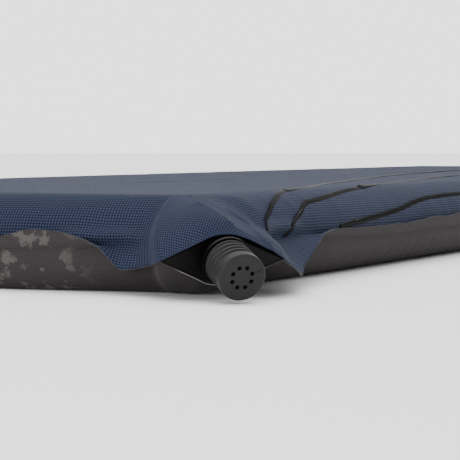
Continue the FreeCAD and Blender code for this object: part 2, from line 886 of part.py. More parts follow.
SHEET = size_sheet()
OUTER = bed_blank("envelope", 0.0, "0")
add_snout(OUTER, 0.0, "0")
HOLLOW = bed_blank("hollow", SIZES["sheet_thickness"], ref("sheet_thickness"))
MOUTH = add_snout(HOLLOW, SIZES["sheet_thickness"], ref("sheet_thickness"))
pad(HOLLOW, MOUTH, "hollow_mouth", ref("snout_open"))
doc.recompute()
SHELL = cut("shell", OUTER, HOLLOW)
GAP = (SIZES["rim_gap"], ref("rim_gap"))
MIDDLE = (SIZES["rim_gap"] + SIZES["rim_ply"], ref("rim_gap") + " + " + ref("rim_ply"))
OUTSIDE = (SIZES["rim_gap"] + 2 * SIZES["rim_ply"], ref("rim_gap") + " + 2 * " + ref("rim_ply"))
WELD = SIZES["weld_height"]
PLY = SIZES["rim_ply"]
LOW_LIP = -PLY - SIZES["lip_gap"]
AT_WELD = ref("weld_height")
OVER_WELD = AT_WELD + " + " + ref("rim_ply")
UNDER_WELD = AT_WELD + " - " + ref("rim_ply")
TOP_RIM = rim("top_rim", GAP, MIDDLE, AT_WELD, WELD, OVER_WELD, WELD + PLY, OUTER)
BOTTOM_RIM = rim("bottom_rim", MIDDLE, OUTSIDE, UNDER_WELD, WELD - PLY, AT_WELD, WELD, OUTER)
TOP_FACE = common("top_face", SHELL, half_space("over_weld", True))
BOTTOM_FACE = common("bottom_face", SHELL, half_space("under_weld", False))
TOP_LIPS = [lip("top_lip_right", 1, 0.0), lip("top_lip_left", -1, 0.0)]
BOTTOM_LIPS = [lip("bottom_lip_right", 1, LOW_LIP), lip("bottom_lip_left", -1, LOW_LIP)]
TOP = sheet("top_sheet", TOP_FACE, BOTTOM_FACE, TOP_RIM, TOP_LIPS)
BOTTOM = sheet("bottom_sheet", BOTTOM_FACE, TOP_FACE, BOTTOM_RIM, BOTTOM_LIPS)
NODES = {
    "top_sheet": TOP,
    "bottom_sheet": BOTTOM,
    "foam_core": foam_core(HOLLOW),
    "valve_boat": weld_base(),
    "valve_stem": stem(),
    "stem_plug": plug(),
    "plug_seal": ring("plug_seal", "seal_inner", "seal_outer", "seal_rear", "seal_front"),
    "stop_clip": ring("stop_clip", "clip_inner", "clip_outer", "clip_rear", "clip_front"),
    "filter_screen": filter_screen(),
    "slide_washer": ring("slide_washer", "washer_inner", "washer_outer", "washer_rear", "washer_front"),
    "valve_cap": cap(),
    "cap_gasket": ring("cap_gasket", "gasket_inner", "gasket_outer", "gasket_rear", "gasket_front"),
}
doc.recompute()


def check_and_write():
    for item in doc.Objects:
        state = " ".join(item.State)
        if "Invalid" in state or "Error" in state:
            raise RuntimeError(item.Label + " did not build: " + state)
    for name, item in NODES.items():
        shape = item.Shape
        if shape.isNull() or not shape.isValid():
            raise RuntimeError(name + " has no valid shape")
        shape.exportStep("parts/" + name + ".step")
        box_text = "%.1f x %.1f x %.1f" % (
            shape.BoundBox.XLength,
            shape.BoundBox.YLength,
            shape.BoundBox.ZLength,
        )
        print(name, len(shape.Solids), "solid", box_text, "%.0f mm3" % shape.Volume)


check_and_write()
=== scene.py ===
import bpy
import math
import numpy as np
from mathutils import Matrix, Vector


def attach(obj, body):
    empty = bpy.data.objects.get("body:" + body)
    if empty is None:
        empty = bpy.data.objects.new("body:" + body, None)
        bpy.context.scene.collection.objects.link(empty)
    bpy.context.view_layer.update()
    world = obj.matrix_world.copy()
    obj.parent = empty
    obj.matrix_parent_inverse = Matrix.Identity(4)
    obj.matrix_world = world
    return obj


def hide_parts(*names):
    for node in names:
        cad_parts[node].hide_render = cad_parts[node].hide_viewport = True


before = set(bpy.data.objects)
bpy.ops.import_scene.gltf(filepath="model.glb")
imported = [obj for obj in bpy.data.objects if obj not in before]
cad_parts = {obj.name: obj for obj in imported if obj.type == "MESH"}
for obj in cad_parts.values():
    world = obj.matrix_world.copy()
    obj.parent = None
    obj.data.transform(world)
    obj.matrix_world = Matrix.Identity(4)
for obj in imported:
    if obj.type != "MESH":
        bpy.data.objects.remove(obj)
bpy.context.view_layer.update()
MM = 0.001

# ------------------------------------------------------------------ sizes, in millimetres
HW, HL, TOP = 255.0, 915.0, 64.0  # half width, half length and height of the bed
WELD = 27.0  # height of the weld line away from the valve
R_VALVE, R_OTHER = 41.0, 60.0  # corner radii, seen from above
LEAST_RADIUS = 7.0  # radius the corners keep when an inset would close them
CROWN_IN, BASE_IN = 36.0, 31.0  # reach of the rounded edge inwards, above and below the weld
PLY, PLY_GAP = 0.5, 0.15  # thickness of a face, and room left between the two at the rim
FOAM_GAP, FOAM_DROP = 6.0, 2.2  # foam slab inside the cover: at the sides, and at the top
FOAM_BOTTOM, FOAM_TOP = 1.0, TOP - 2.4
PRINT_WIDTH, PRINT_HEIGHT = 5.0, 0.6


def pchip(xs, ys, x):
    """Shape-preserving cubic through knots, one column at a time."""
    xs, ys, x = np.asarray(xs, float), np.asarray(ys, float), np.asarray(x, float)
    h = np.diff(xs)[:, None]
    d = np.diff(ys, axis=0) / h
    m = np.zeros_like(ys)
    a, b = d[:-1], d[1:]
    w1, w2 = 2 * h[1:] + h[:-1], h[1:] + 2 * h[:-1]
    with np.errstate(divide="ignore", invalid="ignore"):
        inner = (w1 + w2) / (w1 / a + w2 / b)
    m[1:-1] = np.where(a * b > 0, inner, 0.0)
    m[0], m[-1] = d[0], d[-1]
    i = np.clip(np.searchsorted(xs, x) - 1, 0, len(xs) - 2)
    t = np.clip((x - xs[i]) / h[i, 0], 0, 1)[:, None]
    return hermite(ys[i], ys[i + 1], h[i] * m[i], h[i] * m[i + 1], t)


def hermite(a, b, ta, tb, s):
    """Curve from a to b that leaves along ta and arrives along tb."""
    return (
        (2 * s**3 - 3 * s**2 + 1) * a + (s**3 - 2 * s**2 + s) * ta
        + (-2 * s**3 + 3 * s**2) * b + (s**3 - s**2) * tb
    )


def smooth01(x):
    """Eases from 0 to 1 as x goes from 0 to 1."""
    x = np.clip(x, 0.0, 1.0)
    return x * x * (3 - 2 * x)


def wave_noise(seed, x, y, scale, octaves=3):
    """Smooth repeatable noise made of a few waves in many directions, about -1 to 1."""
    rng = np.random.default_rng(seed)
    out = np.zeros(np.broadcast(x, y).shape)
    total = 0.0
    for o in range(octaves):
        amp = 0.6**o
        for _ in range(5):
            ang = rng.uniform(0, 2 * math.pi)
            k = 2 * math.pi / (scale / 1.8**o) * rng.uniform(0.7, 1.3)
            ph = rng.uniform(0, 2 * math.pi)
            out = out + amp * np.sin(k * (x * math.cos(ang) + y * math.sin(ang)) + ph)
        total += amp * 2.2
    return out / total


# ------------------------------------------------------------------ the outline of the bed
# p runs along the sharp-cornered perimeter: p = 0 at the valve corner, p > 0 up the long
# side, p < 0 along the short end.
LONG, SHORT = 2 * HL, 2 * HW
PERIM = 2 * (LONG + SHORT)
SIDE_START = [0.0, LONG, LONG + SHORT, 2 * LONG + SHORT]
SIDE_LENGTH = [LONG, SHORT, LONG, SHORT]
# Outward directions of the sides, in order: right, far end, left, near end. Each side runs in
# the outward direction of the next one.
SIDE_OUT = np.array([(1, 0), (0, 1), (-1, 0), (0, -1)], float)
# The corner each side starts from: which side of the middle it lies on in x and y, and its radius.
CORNERS = [(1, -1, R_VALVE), (1, 1, R_OTHER), (-1, 1, R_OTHER), (-1, -1, R_OTHER)]


def inset_radius(radius, inset):
    """Corner radius after an inset."""
    return np.maximum(radius - inset, np.minimum(LEAST_RADIUS, np.maximum(HW - inset, 0.01)))


def outline(p, inset):
    """Point and outward direction on the outline pulled in by an inset."""
    inset = np.asarray(inset, float) * np.ones_like(p)
    s = np.mod(p, PERIM)
    x, y, nx, ny = (np.zeros_like(p) for _ in range(4))
    hw, hl = HW - inset, HL - inset
    for k in range(4):
        after = (k + 1) % 4
        r0, r1 = CORNERS[k][2], CORNERS[after][2]
        ri0, ri1 = inset_radius(r0, inset), inset_radius(r1, inset)
        q = s - SIDE_START[k]
        on = (q >= 0) & (q < SIDE_LENGTH[k])
        # the straight stretch between the corners
        out, way = SIDE_OUT[k], SIDE_OUT[after]
        across, half = (hw, hl) if k % 2 == 0 else (hl, hw)
        part = np.clip((q - r0) / (SIDE_LENGTH[k] - r0 - r1), 0, 1)
        run = -half + ri0 + part * (2 * half - ri0 - ri1)
        px, py = out[0] * across + way[0] * run, out[1] * across + way[1] * run
        qx, qy = out[0] * np.ones_like(p), out[1] * np.ones_like(p)
        # half of the corner at each end, turning towards the neighbouring side
        ends = ((q, k, k - 1, ri0), (SIDE_LENGTH[k] - q, after, after, ri1))
        for from_end, corner, neighbour, ri in ends:
            cx, cy, r = CORNERS[corner]
            arc = on & (from_end < r)
            turn = np.clip(1 - from_end / r, 0, 1) * (math.pi / 4)
            ax = out[0] * np.cos(turn) + SIDE_OUT[neighbour, 0] * np.sin(turn)
            ay = out[1] * np.cos(turn) + SIDE_OUT[neighbour, 1] * np.sin(turn)
            px = np.where(arc, cx * (hw - ri) + ri * ax, px)
            py = np.where(arc, cy * (hl - ri) + ri * ay, py)
            qx, qy = np.where(arc, ax, qx), np.where(arc, ay, qy)
        x, y = np.where(on, px, x), np.where(on, py, y)
        nx, ny = np.where(on, qx, nx), np.where(on, qy, ny)
    return np.stack([x, y], -1), np.stack([nx, ny], -1)


FINE, MEDIUM, AT_CORNER, COARSE = 1.6, 3.2, 6.0, 16.0  # spacings of the stations
FINE_FROM, FINE_TO = -150, 170  # stretch with the fine spacing
MEDIUM_FROM, MEDIUM_TO = -310, 560  # stretch with at least the medium one
NEAR_A_CORNER = 90


def stations():
    """Perimeter stations, close together round the valve and along the seen sides."""
    ps = [*np.arange(FINE_FROM, FINE_TO, FINE), *np.arange(FINE_TO, MEDIUM_TO, MEDIUM)]
    p, step = float(MEDIUM_TO), 4.0
    end = PERIM + MEDIUM_FROM
    while p < end:
        ps.append(p)
        to_corner = min(abs(p - start) for start in SIDE_START[1:])
        step = min(step * 1.08, AT_CORNER if to_corner < NEAR_A_CORNER else COARSE)
        p += step
    return np.array([*ps, *np.arange(end, PERIM + FINE_FROM, MEDIUM)])


P = stations()
SIGNED = np.where(P > PERIM / 2, P - PERIM, P)
_, N0 = outline(P, 0.0)


def ring(inset, z):
    """One row of points on the outline pulled in by an inset, at one height or at one for each."""
    xy, _ = outline(P, inset)
    return np.column_stack([xy, np.broadcast_to(z, len(P))])


def between(lo, hi, fade_lo, fade_hi):
    """Weight that eases up from 0 at one place on the perimeter and back to 0 at another."""
    return smooth01((SIGNED - lo) / fade_lo) * smooth01((hi - SIGNED) / fade_hi)


def blend(a, b, weight):
    return a * (1 - weight[:, None]) + b * weight[:, None]


# ------------------------------------------------------------------ the valve corner
# The valve's own frame: level across it, down its face, and out along its axis.
SPOT = np.array([270.74, -930.74, 27.0])
AXIS = np.array([0.674008, -0.674008, -0.302370])
LEVEL = np.array([math.sqrt(0.5), math.sqrt(0.5), 0.0])
DOWN = np.cross(LEVEL, AXIS)


def at_valve(u, v, w):
    return SPOT + LEVEL * u + DOWN * v + AXIS * w


# How the two faces arch over and under the weld base: across, then down.
ARCH = [
    (-40.6, 2.0), (-35.0, -0.6), (-28.7, -3.6), (-22.6, -6.6), (-16.4, -9.9), (-10.2, -12.9),
    (-3.8, -14.6), (3.4, -14.9), (9.5, -13.6), (16.5, -11.0), (23.7, -7.2), (30.9, -3.3),
    (38.1, 0.3), (40.6, 1.8),
]
SLING = [
    (-40.6, 2.6), (-27.5, 8.7), (-17.2, 13.2), (-8.1, 17.3), (0.0, 18.4), (8.1, 17.1),
    (17.2, 12.8), (28.9, 7.6), (40.6, 2.4),
]
SQUEEZE = 0.8  # perimeter used for each millimetre across the arch


def arch_rows(pairs, w, lift, lift_right=None):
    """Table rows over the arch, lifted off it by one amount on the left and another on the right."""
    right = lift if lift_right is None else lift_right
    rows = []
    for u, v in pairs:
        more = (right - lift) * float(smooth01((u + 8) / 22))
        rows.append([u * SQUEEZE, *at_valve(u, v - lift - more, w)])
    return rows


# Where the weld line and the cut edge of the cover run near the valve: p, then x, y, z.
WELD_LINE = np.array([
    [-150, 105.0, -915.0, 27.2],
    [-100, 155.0, -912.4, 28.4],
    [-84, 171.0, -911.6, 29.8],
    [-68, 187.0, -911.8, 31.4],
    [-54, 201.0, -914.6, 31.6],
    [-44, 211.0, -920.0, 32.0],
    *arch_rows(ARCH, -4.0, 4.4, 2.2),
    [44, 284.0, -873.5, 32.6],
    [56, 271.6, -860.0, 33.2],
    [70, 262.0, -846.0, 33.2],
    [105, 256.0, -810.4, 32.9],
    [163, 254.6, -751.6, 32.4],
    [202, 255.4, -713.0, 30.0],
    [260, 255.0, -655.0, 28.0],
    [330, 255.0, -585.0, 27.0],
])
CUT_EDGE = np.array([
    [-154, 101.4, -917.8, 44.2],
    [-138, 117.0, -917.8, 42.6],
    [-118, 137.0, -917.8, 40.8],
    [-106, 148.7, -918.2, 39.4],
    [-90, 164.9, -919.8, 35.9],
    [-79, 176.4, -921.5, 31.4],
    [-69, 188.0, -924.0, 21.6],
    [-63, 194.5, -925.5, 16.9],
    [-59, 198.0, -926.5, 16.4],
    [-50, 210.0, -930.0, 18.4],
    [-41, 222.0, -936.5, 20.8],
    *arch_rows(ARCH, 1.2, 0.7),
    [40, 300.0, -892.0, 21.0],
    [58, 294.5, -862.0, 14.2],
    [70, 289.0, -845.5, 10.9],
    [76, 286.5, -838.0, 11.4],
    [95, 280.0, -819.0, 15.2],
    [121, 274.0, -792.0, 21.0],
    [150, 267.5, -762.0, 28.5],
    [176, 261.6, -735.0, 34.4],
    [200, 258.8, -713.0, 35.6],
    [240, 258.0, -675.0, 35.0],
    [266, 258.0, -649.0, 34.6],
    [371, 258.0, -544.0, 34.6],
    [400, 258.2, -515.0, 35.6],
    [437, 258.4, -478.0, 37.2],
    [470, 258.3, -445.0, 36.6],
    [500, 258.2, -415.0, 36.2],
])
LOWER_EDGE = np.array(arch_rows(SLING, 0.7, -0.3))
LOWER_WELD = np.array(arch_rows(SLING, -12.0, -0.6))


def turned_up():
    """Cut edge of the rim where it is folded up against the side."""
    edge = ring(0.0, 37.2 + 1.5 * np.sin(P / 61.0) + 0.7 * np.sin(P / 23.0 + 1.0))
    out = 2.9 + 0.4 * np.sin(P / 37.0)
    edge[:, :2] += N0 * out[:, None]
    return edge


def read_table(table):
    """A table's points at every station, held still beyond its two ends."""
    q = np.clip(SIGNED, table[0, 0], table[-1, 0])
    return pchip(table[:, 0], table[:, 1:], q)


def along(table, base, lo, hi, fade=30.0):
    """Base line, replaced by a table of points near the valve."""
    return blend(base, read_table(table), between(lo, hi, fade, fade))


# ------------------------------------------------------------------ the two sharp folds
# Lines of (p, t) knots: t is 0 at the weld and 1 at the flat top.
UPPER_FOLD = [(6, 0.0), (5, 0.1), (3, 0.25), (0, 0.4), (-4, 0.5), (-2, 0.65), (2, 0.8)]
LOWER_FOLD = [(26, 0.0), (25, 0.12), (26, 0.233), (32, 0.367), (36, 0.45), (42, 0.52)]
FOLD_FADE = 0.12
ON_THE_RIM = 0.35  # how much of a fold's height is left at the cut edge


def crest(t, knots, left, right, height):
    """Fold standing out of the wall along a line of (p, t) knots, steeper on one side."""
    knots = np.array(knots, float)
    tt = np.clip(t, knots[0, 1], knots[-1, 1])
    off = SIGNED - np.interp(tt, knots[:, 1], knots[:, 0])
    end = smooth01((knots[-1, 1] + FOLD_FADE - t) / FOLD_FADE)
    width = np.where(off < 0, left, right)
    return height * end * np.exp(-((np.abs(off) / width) ** 1.4))


def folds(t):
    """Height of the two sharp folds that run from the crown down to the arch."""
    upper = crest(t, UPPER_FOLD, 5.0, 2.0, 2.1) * smooth01(t / FOLD_FADE)
    return upper + crest(t, LOWER_FOLD, 4.5, 2.0, 2.0)


def raise_by(points, height):
    """Moves points out and up by a height on each station."""
    return points + np.column_stack([N0 * 0.6, np.full(len(P), 0.8)]) * height[:, None]


BASE_WELD = ring(0.0, WELD)
WELD_TOP = raise_by(along(WELD_LINE, BASE_WELD, -150, 330), folds(0.0))
CUT_TOP = raise_by(along(CUT_EDGE, turned_up(), -154, 500), folds(0.0) * ON_THE_RIM)
UNDER_VALVE = between(-44, 46, 12.0, 14.0)  # where the lower face leaves the upper one's weld
WELD_LOW = blend(WELD_TOP, read_table(LOWER_WELD), UNDER_VALVE)


# ------------------------------------------------------------------ the cover's two faces
T_WALL = np.linspace(0, 1, 31)  # rows of the wall above the weld, and below it
T_BASE = np.linspace(0, 1, 23)
INNER = [42.0, 50.0, 62.0, 80.0, 110.0, 150.0, 200.0, 245.0, 254.5]  # insets of the flat rows
BASE_INNER = [34.0, 60.0, 110.0, 180.0, 254.5]
SWEPT_TO = 0.9  # row up to which the wall beside the valve is one sweep
OVERHANG, OVERHANG_AT, OVERHANG_SPREAD = 4.4, 0.13, 0.08

# Where the rim hangs down as a flap on either side of the valve, and where the wall is swept.
FLAPS = between(-125, -42, 25, 18) + between(44, 160, 14, 40)
SWEEP = between(-105, 92, 85.0, 52.0)


def top_section(t):
    """Inset and height of the side wall, from the weld (0) to the flat top (1)."""
    ang = t * math.pi / 2
    return CROWN_IN * (1 - np.cos(ang)), WELD + (TOP - WELD) * np.sin(ang) ** 0.92


def low_section(t):
    """Inset and height of the side wall, from the weld (0) down to the flat base (1)."""
    ang = t * math.pi / 2
    return BASE_IN * (1 - np.cos(ang) ** 1.05), WELD * (1 - np.sin(ang))


def unit(vectors, least=0.0):
    return vectors / np.maximum(np.linalg.norm(vectors, axis=1, keepdims=True), least)


def swept(t):
    """The wall beside the valve: one smooth sweep from the weld base up to the crown."""
    foot, head = WELD_TOP, ring(*top_section(SWEPT_TO))
    reach = np.linalg.norm(head - foot, axis=1, keepdims=True)
    right = smooth01((SIGNED + 12) / 26)[:, None]
    leave = unit(foot - CUT_TOP) * reach * (0.7 - 0.45 * right)
    arrive = unit(head - ring(*top_section(SWEPT_TO - 0.02))) * reach * (1.0 - 0.45 * right)
    return hermite(foot, head, leave, arrive, min(t / SWEPT_TO, 1.0))


def fibre_top():
    """Rows of points from the weld line inwards over the top."""
    rows = []
    for t in T_WALL:
        pull = np.clip(1 - t / 0.92, 0, 1) ** 1.35
        pts = ring(*top_section(t)) + (WELD_TOP - BASE_WELD) * pull
        if t <= SWEPT_TO:
            pts = blend(pts, swept(t), SWEEP)
        # the folds are in the weld line already, and fade as its pull does
        carried = max(0.0, 1 - t / SWEPT_TO) ** 2 * (1 + 2 * min(t / SWEPT_TO, 1.0))
        pts = raise_by(pts, folds(t) - folds(0.0) * carried)
        overhang = OVERHANG * FLAPS * math.exp(-(((t - OVERHANG_AT) / OVERHANG_SPREAD) ** 2))
        pucker = 0.45 * wave_noise(3, P, np.full_like(P, t * 30), 26.0) * (1 - t) ** 0.6
        soft = 0.5 * wave_noise(5, P, np.full_like(P, t * 60), 90.0)
        fade = np.sin(min(t * 1.2, 1) * math.pi / 2) * (0.3 + 0.7 * (1 - t))
        push = overhang + (pucker + soft) * fade
        pts[:, :2] += N0 * push[:, None] * math.cos(t * math.pi / 2 * 0.8)
        pts[:, 2] += push * math.sin(t * math.pi / 2 * 0.8) * 0.8
        rows.append(pts)
    for inset in INNER:
        row = ring(inset, TOP - 0.1)
        uneven = 1 + wave_noise(11, row[:, 0], row[:, 1], 260.0)
        row[:, 2] -= 0.3 * smooth01((inset - 40) / 90) * uneven
        rows.append(row)
    return rows


def fibre_low():
    """Rows of points from the weld line inwards over the base."""
    rows = []
    tuck = 1 - 0.5 * between(-330, -50, 120, 110)  # the seen short end keeps its base further out
    for t in T_BASE:
        inset, z = low_section(t)
        pull = np.clip(1 - t / 0.9, 0, 1) ** 1.2
        pts = ring(inset * tuck, z) + (WELD_LOW - BASE_WELD) * pull
        pucker = 0.4 * wave_noise(8, P, np.full_like(P, t * 30), 30.0) * math.sin(t * math.pi)
        pts[:, :2] += N0 * pucker[:, None]
        rows.append(pts)
    return rows + [ring(inset, 0.0) for inset in BASE_INNER]


RIM_STEPS = [1.0, 0.86, 0.7, 0.55, 0.4, 0.27, 0.16, 0.07]  # from the cut edge in to the weld
RIM_BULGE, RIM_WAVE = 2.56, 0.35


def rim_rows(weld, edge):
    """The flat welded rim from its cut edge to the weld line, bent close to the weld."""
    span = edge - weld
    upright = np.clip(span[:, 2] / np.linalg.norm(span, axis=1), 0, 1)
    out = np.column_stack([N0, np.zeros(len(P))])
    wave = RIM_WAVE * wave_noise(21, P, np.zeros_like(P), 34.0)
    rows = []
    for f in RIM_STEPS:
        bulge = RIM_BULGE * upright * math.sin(f * math.pi) * (1 - f)
        pts = weld + span * f + out * bulge[:, None]
        pts[:, 2] += wave * f
        rows.append(pts)
    return rows


def ply_shift():
    """Unit direction from the upper ply of the rim to the lower one."""
    tangent = np.roll(CUT_TOP, -1, 0) - np.roll(CUT_TOP, 1, 0)
    return unit(np.cross(tangent, CUT_TOP - WELD_TOP), 1e-9)


# ------------------------------------------------------------------ meshes
def tube_faces(rows, count):
    """Quads between neighbouring rows of points, each row closed on itself."""
    i, j = np.meshgrid(np.arange(rows - 1), np.arange(count), indexing="ij")
    jn = (j + 1) % count
    a, b = i * count, (i + 1) * count
    return np.stack([a + j, a + jn, b + jn, b + j], -1).reshape(-1, 4).tolist()


def smooth_object(me):
    """Puts a finished mesh in the scene with smooth faces."""
    me.polygons.foreach_set("use_smooth", np.ones(len(me.polygons), bool))
    me.validate()
    me.update()
    ob = bpy.data.objects.new(me.name, me)
    bpy.context.scene.collection.objects.link(ob)
    return ob


def flat_uvs(rows, anchor):
    """Where each point lies on the flat cloth: rows outside the anchor row are unrolled outwards."""
    flat = [row[:, :2] for row in rows]
    for i in range(anchor - 1, -1, -1):
        run = np.linalg.norm(rows[i] - rows[i + 1], axis=1)
        flat[i] = flat[i + 1] + N0 * run[:, None]
    return flat


def grid_mesh(name, rows, anchor, flip=False, closed_start=False):
    """Mesh closed round the perimeter and over its middle, with its flat cloth as UV layer."""
    n, m = len(rows), len(rows[0])
    faces = tube_faces(n, m) + [list(range((n - 1) * m, n * m))]
    if closed_start:
        faces.append(list(range(m))[::-1])
    if flip:
        faces = [face[::-1] for face in faces]
    me = bpy.data.meshes.new(name)
    me.from_pydata((np.concatenate(rows, 0) * MM).tolist(), [], faces)
    uv = me.uv_layers.new(name="cloth")
    corners = np.concatenate([np.array(face) for face in faces])
    flat = np.concatenate(flat_uvs(rows, anchor), 0)[corners]
    uv.data.foreach_set("uv", (flat * MM).reshape(-1).astype(np.float32))
    return smooth_object(me)


def thicken(ob):
    """Gives a face the thickness of its ply, with the second material on the cut edge."""
    mod = ob.modifiers.new("ply", "SOLIDIFY")
    mod.thickness = PLY * MM
    mod.offset = 0.0
    mod.use_rim = True
    mod.material_offset_rim = 1


top_rows = fibre_top()
low_rows = fibre_low()
SHIFT = ply_shift() * (PLY + PLY_GAP)
CUT_LOW = blend(CUT_TOP + SHIFT, read_table(LOWER_EDGE), between(-36, 36, 4.0, 4.0))
all_top = rim_rows(WELD_TOP, CUT_TOP) + top_rows
all_low = rim_rows(WELD_LOW + SHIFT * (1 - UNDER_VALVE[:, None]) * 0.5, CUT_LOW) + low_rows

top_cover = grid_mesh("cover_top", all_top, len(RIM_STEPS) + len(T_WALL))
low_cover = grid_mesh("cover_underside", all_low, len(RIM_STEPS) + len(T_BASE), flip=True)
thicken(top_cover)
thicken(low_cover)


# ------------------------------------------------------------------ foam core
def foam_rows():
    """Closed slab inside the cover, clear of it all round and cut short at the valve."""
    cut = N0 * (34.0 * np.exp(-((SIGNED / 46.0) ** 2)))[:, None]

    def row(inset, z):
        pts = ring(inset + FOAM_GAP, z)
        pts[:, :2] -= cut
        return pts

    rows = []
    for t in (1.0, 0.75, 0.5, 0.25, 0.0):
        inset, z = low_section(t)
        rows.append(row(inset, z * 0.9 + FOAM_BOTTOM))
    for t in np.linspace(0.1, 1.0, 10):
        inset, z = top_section(t)
        rows.append(row(inset, z - FOAM_DROP * t))
    inner = [60.0, 120.0, 190.0, 254.5]
    below = [ring(inset, FOAM_BOTTOM) for inset in reversed(inner)]
    above = [ring(inset, FOAM_TOP) for inset in inner]
    return below + rows + above


foam_core = grid_mesh("foam_slab", foam_rows(), 0, closed_start=True)


# ------------------------------------------------------------------ raised print on the top
ORDER = np.argsort(SIGNED)
WALL_P = SIGNED[ORDER]
WALL_ROWS = np.stack(top_rows[: len(T_WALL)], 0)[:, ORDER]
# Half of the section across a printed line: width and height as parts of the whole.
HALF_PROFILE = [(-0.5, -0.6), (-0.5, 0.35), (-0.36, 0.85), (-0.15, 1.0)]
PROFILE = HALF_PROFILE + [(-a, b) for a, b in reversed(HALF_PROFILE)]


def wall_point(p, t):
    """Position on the wall at perimeter p and section t."""
    row = np.clip(t, 0, 1) * (len(T_WALL) - 1)
    i = int(min(math.floor(row), len(T_WALL) - 2))
    line = WALL_ROWS[i] * (1 - (row - i)) + WALL_ROWS[i + 1] * (row - i)
    return np.array([np.interp(p, WALL_P, line[:, k]) for k in range(3)])


def print_route(wall_path, flat_path):
    """Centre line of a printed line: up the wall by (p, t), then over the flat by (x, y)."""
    on_flat = [(HW + dx, -HL + dy, TOP) for dx, dy in flat_path]
    knots = np.array([*(wall_point(p, t) for p, t in wall_path), *on_flat])
    at = np.concatenate([[0], np.cumsum(np.linalg.norm(np.diff(knots, axis=0), axis=1))])
    ds = np.concatenate([np.arange(0, min(at[-1], 400), 1.5), np.arange(400, at[-1], 6.0), [at[-1]]])
    # the wall part follows the surface in (p, t), the flat part in (x, y)
    wall_end = at[len(wall_path) - 1]
    wall = pchip(at[: len(wall_path)], wall_path, np.clip(ds, 0, wall_end))
    line = pchip(at, knots, ds)
    line[:, 2] = TOP - 0.1
    on_wall = ds <= wall_end
    line[on_wall] = [wall_point(p, t) for p, t in wall[on_wall]]
    # settle the join with a short running mean
    for _ in range(6):
        line[1:-1] = (line[:-2] + 2 * line[1:-1] + line[2:]) / 4
    return line


def ribbon(name, wall_path, flat_path):
    """Raised rubber line along a route, narrowed at both ends."""
    line = print_route(wall_path, flat_path)
    n, k = len(line), len(PROFILE)
    tan = unit(np.gradient(line, axis=0))
    inward = np.clip((HW - line[:, 0]) / CROWN_IN, 0, 1) * math.pi / 2
    up = np.stack([np.cos(inward), np.zeros(n), np.sin(inward)], 1)
    up = unit(up - (up * tan).sum(1, keepdims=True) * tan)
    side = np.cross(tan, up)
    to_end = np.minimum(np.arange(n), np.arange(n)[::-1]) / 3.0
    taper = (np.sqrt(np.clip(to_end, 0.0, 1.0)) * 0.98 + 0.02)[:, None]
    edges = [
        line + side * (a * PRINT_WIDTH * taper) + up * (b * PRINT_HEIGHT * taper + 0.15)
        for a, b in PROFILE
    ]
    verts = np.stack(edges, 1).reshape(-1, 3)
    ends = [list(range(k))[::-1], list(range((n - 1) * k, n * k))]
    me = bpy.data.meshes.new(name)
    me.from_pydata((verts * MM).tolist(), [], tube_faces(n, k) + ends)
    return smooth_object(me)


# For each line: (p, t) up the wall, then (x, y) from the sharp valve corner over the flat.
PRINT_LINES = [
    (
        [(66, 0.02), (72, 0.133), (85, 0.22), (103, 0.333), (119, 0.467), (140, 0.6),
         (167, 0.767), (186, 0.85)],
        [(-40, 251), (-82, 397), (-125, 577), (-206, 932), (-250, 1250), (-262, 1560)],
    ),
    (
        [(112, 0.02), (127, 0.133), (143, 0.21), (157, 0.3), (170, 0.4), (184, 0.48),
         (208, 0.533), (240, 0.6), (280, 0.7), (330, 0.8)],
        [(-55, 506), (-97, 708), (-140, 980), (-170, 1300), (-176, 1600)],
    ),
    (
        [(222, 0.1), (237, 0.13), (292, 0.2), (368, 0.3), (410, 0.39), (436, 0.43),
         (484, 0.465), (541, 0.475), (640, 0.52), (800, 0.66), (940, 0.82)],
        [(-44, 1100), (-74, 1300), (-86, 1560)],
    ),
]
lines = [ribbon(f"print_line_{k}", *paths) for k, paths in enumerate(PRINT_LINES, 1)]


# ------------------------------------------------------------------ materials
def new_material(name):
    mat = bpy.data.materials.new(name)
    mat.use_nodes = True
    tree = mat.node_tree
    for old in list(tree.nodes):
        tree.nodes.remove(old)
    out = tree.nodes.new("ShaderNodeOutputMaterial")
    bsdf = tree.nodes.new("ShaderNodeBsdfPrincipled")
    tree.links.new(bsdf.outputs[0], out.inputs[0])
    return mat, tree, bsdf


def node(tree, kind, **settings):
    """New node: in_Some_Name sets the input "Some Name", anything else a property."""
    made = tree.nodes.new(kind)
    for key, value in settings.items():
        if key.startswith("in_"):
            made.inputs[key[3:].replace("_", " ")].default_value = value
        else:
            setattr(made, key, value)
    return made


def math_node(tree, op, a, b=None):
    made = node(tree, "ShaderNodeMath", operation=op)
    for i, v in enumerate((a, b)):
        if isinstance(v, (int, float)):
            made.inputs[i].default_value = v
        elif v is not None:
            tree.links.new(v, made.inputs[i])
    return made.outputs[0]


def mix_rgb(tree, fac, a, b, blend_type="MIX"):
    made = node(tree, "ShaderNodeMix", data_type="RGBA", blend_type=blend_type)
    for sock, v in ((made.inputs[0], fac), (made.inputs[6], a), (made.inputs[7], b)):
        if isinstance(v, (int, float, tuple)):
            sock.default_value = v
        else:
            tree.links.new(v, sock)
    return made.outputs[2]


def ease(tree, value, start, end, low=0.0, high=1.0):
    """Eases from low to high as a value goes from start to end."""
    made = node(
        tree, "ShaderNodeMapRange", interpolation_type="SMOOTHSTEP",
        in_From_Min=start, in_From_Max=end, in_To_Min=low, in_To_Max=high,
    )
    tree.links.new(value, made.inputs["Value"])
    return made.outputs["Result"]


def noise(tree, coord, **settings):
    made = node(tree, "ShaderNodeTexNoise", **settings)
    tree.links.new(coord, made.inputs["Vector"])
    return made.outputs[0]


